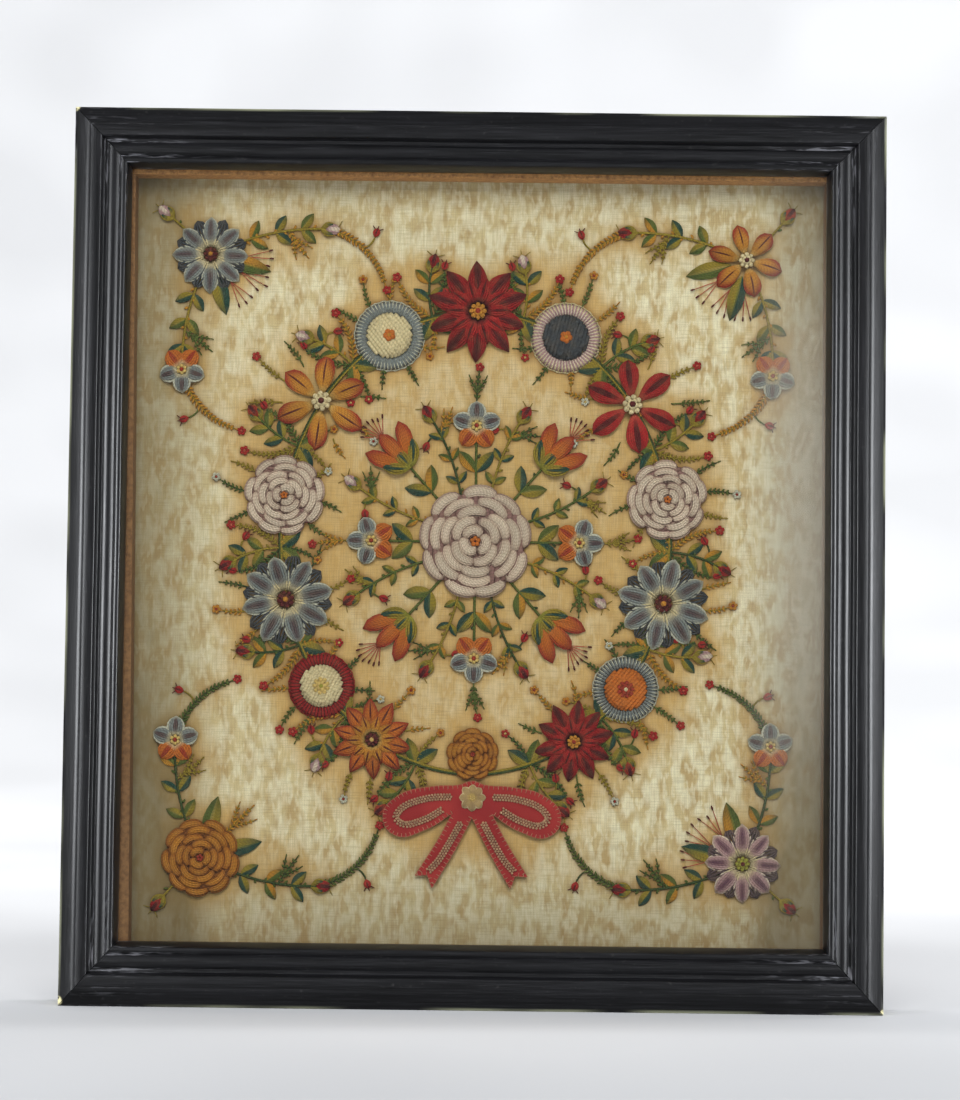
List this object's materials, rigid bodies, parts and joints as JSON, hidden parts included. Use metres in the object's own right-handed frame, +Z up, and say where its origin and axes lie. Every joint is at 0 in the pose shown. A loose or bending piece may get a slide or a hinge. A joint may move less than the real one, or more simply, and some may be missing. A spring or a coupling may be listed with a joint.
{
  "type": "framed raised wool embroidery panel with a glazed wooden frame",
  "caption": "Glazed, box-deep ebonised wooden frame around a silk panel embroidered with raised padded wool flowers, leafy sprays and a beaded felt bow.",
  "frame": {"origin": "middle of the foot of the outer frame, halfway through its depth", "axes": "+Z up along the frame's height, +X to the right seen from the front, the embroidery faces -Y"},
  "size_m": [0.62, 0.052, 0.682],
  "materials": {
    "ebonised_wood": "black stained and polished, satin, worn pale along the arrises",
    "brown_slip": "plain brown, matt",
    "pane": "clear, slightly hazed",
    "silk": "aged cream silk with pale upright flecks and a tan stain",
    "board": "plain aged softwood",
    "green_wool": "wool yarn, matt",
    "crimson_wool": "wool yarn, matt",
    "orange_wool": "wool yarn, matt",
    "blue_wool": "wool yarn, matt",
    "lilac_wool": "wool yarn, matt",
    "mustard_wool": "wool yarn, matt",
    "red_felt": "wool felt with lines of small beige beads"
  },
  "bodies": {
    "root": {"rail_left": "ebonised_wood", "rail_right": "ebonised_wood", "rail_top": "ebonised_wood", "rail_bottom": "ebonised_wood", "glass_pane": "pane", "slip_left": "brown_slip", "slip_right": "brown_slip", "slip_top": "brown_slip", "slip_bottom": "brown_slip", "silk_ground": "silk", "backboard": "board", "wool_garland": "green_wool", "wool_centre_spray": "green_wool", "wool_corner_spray_1": "green_wool", "wool_corner_spray_2": "green_wool", "wool_corner_spray_3": "green_wool", "wool_corner_spray_4": "green_wool", "flower_top": "crimson_wool", "flower_left_1": "blue_wool", "flower_right_1": "lilac_wool", "flower_left_2": "orange_wool", "flower_right_2": "crimson_wool", "flower_left_3": "lilac_wool", "flower_right_3": "lilac_wool", "flower_left_4": "blue_wool", "flower_right_4": "blue_wool", "flower_left_5": "crimson_wool", "flower_right_5": "mustard_wool", "flower_left_6": "orange_wool", "flower_right_6": "crimson_wool", "flower_foot": "mustard_wool", "flower_centre": "lilac_wool", "blossom_1": "blue_wool", "blossom_2": "blue_wool", "blossom_3": "blue_wool", "blossom_4": "blue_wool", "bell_1": "orange_wool", "bell_2": "orange_wool", "bell_3": "orange_wool", "bell_4": "orange_wool", "flower_corner_1": "blue_wool", "flower_corner_2": "orange_wool", "flower_corner_3": "mustard_wool", "flower_corner_4": "lilac_wool", "blossom_corner_1": "blue_wool", "blossom_corner_2": "blue_wool", "blossom_corner_3": "blue_wool", "blossom_corner_4": "blue_wool", "felt_bow": "red_felt"}
  },
  "joints": []
}
